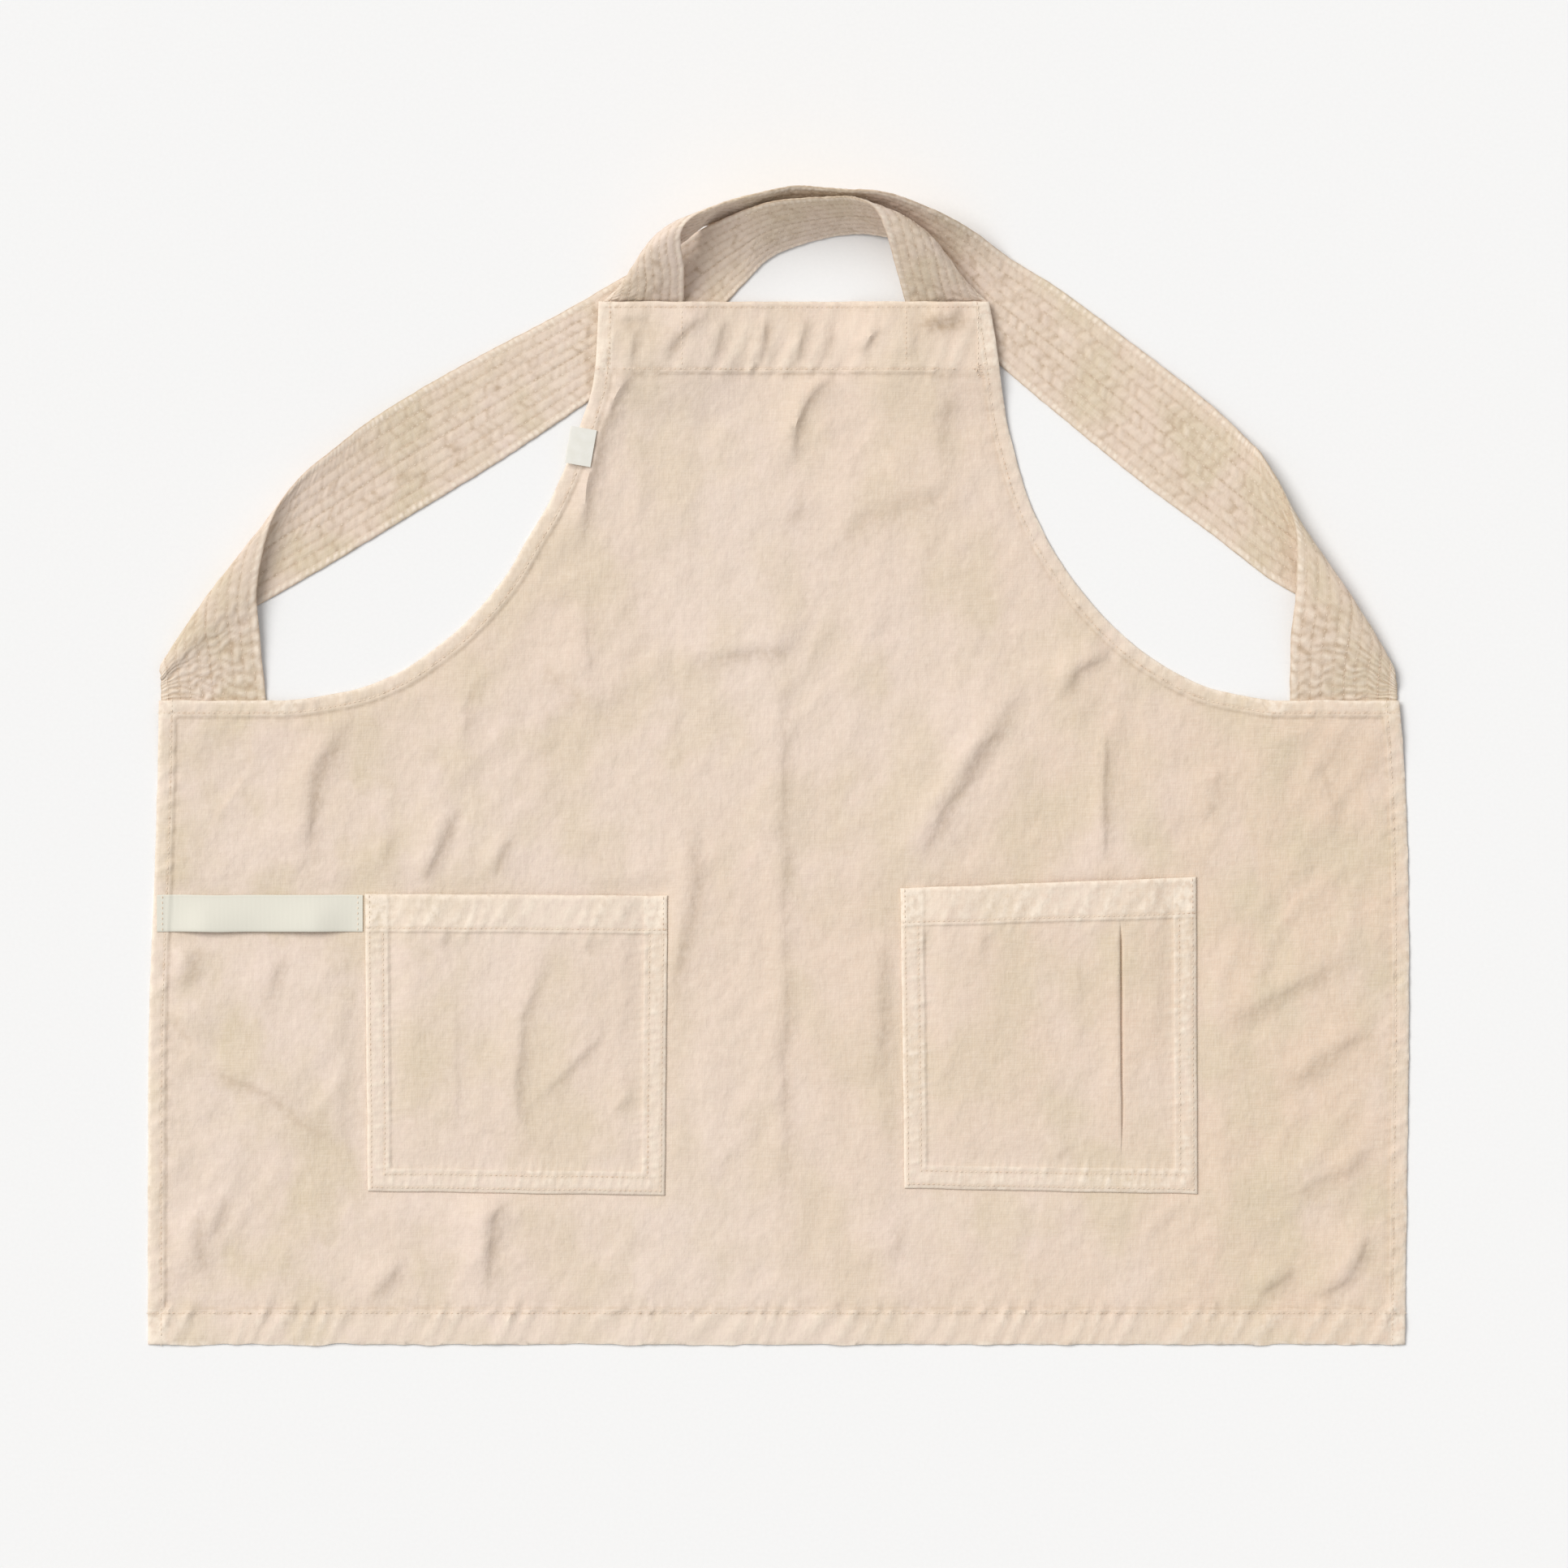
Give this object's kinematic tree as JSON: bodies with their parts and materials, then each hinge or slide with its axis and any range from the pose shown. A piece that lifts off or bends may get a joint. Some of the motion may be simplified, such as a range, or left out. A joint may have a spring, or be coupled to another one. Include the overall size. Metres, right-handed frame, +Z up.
{
  "type": "smock apron",
  "caption": "Smock apron of washed linen lying face up: a bib and wide skirt with patch pockets, a towel loop and wide quilted straps that cross at the neck.",
  "frame": {"origin": "centre of the apron's outline on the surface that it lies on", "axes": "+X across the skirt to the right as seen from the front, +Y from the hem to the bib, +Z up out of the cloth's face"},
  "size_m": [0.892, 0.8232, 0.0552],
  "materials": {
    "linen": "washed plain weave",
    "quilted_linen": "quilted in close lengthwise rows",
    "tape": "smooth ribbed cotton tape",
    "tag": "plain woven tag"
  },
  "bodies": {
    "root": {"apron_body": "linen", "strap_left": "quilted_linen", "strap_right": "quilted_linen", "pocket_left": "linen", "pocket_right": "linen", "towel_loop": "tape", "label_tag": "tag"}
  },
  "joints": []
}
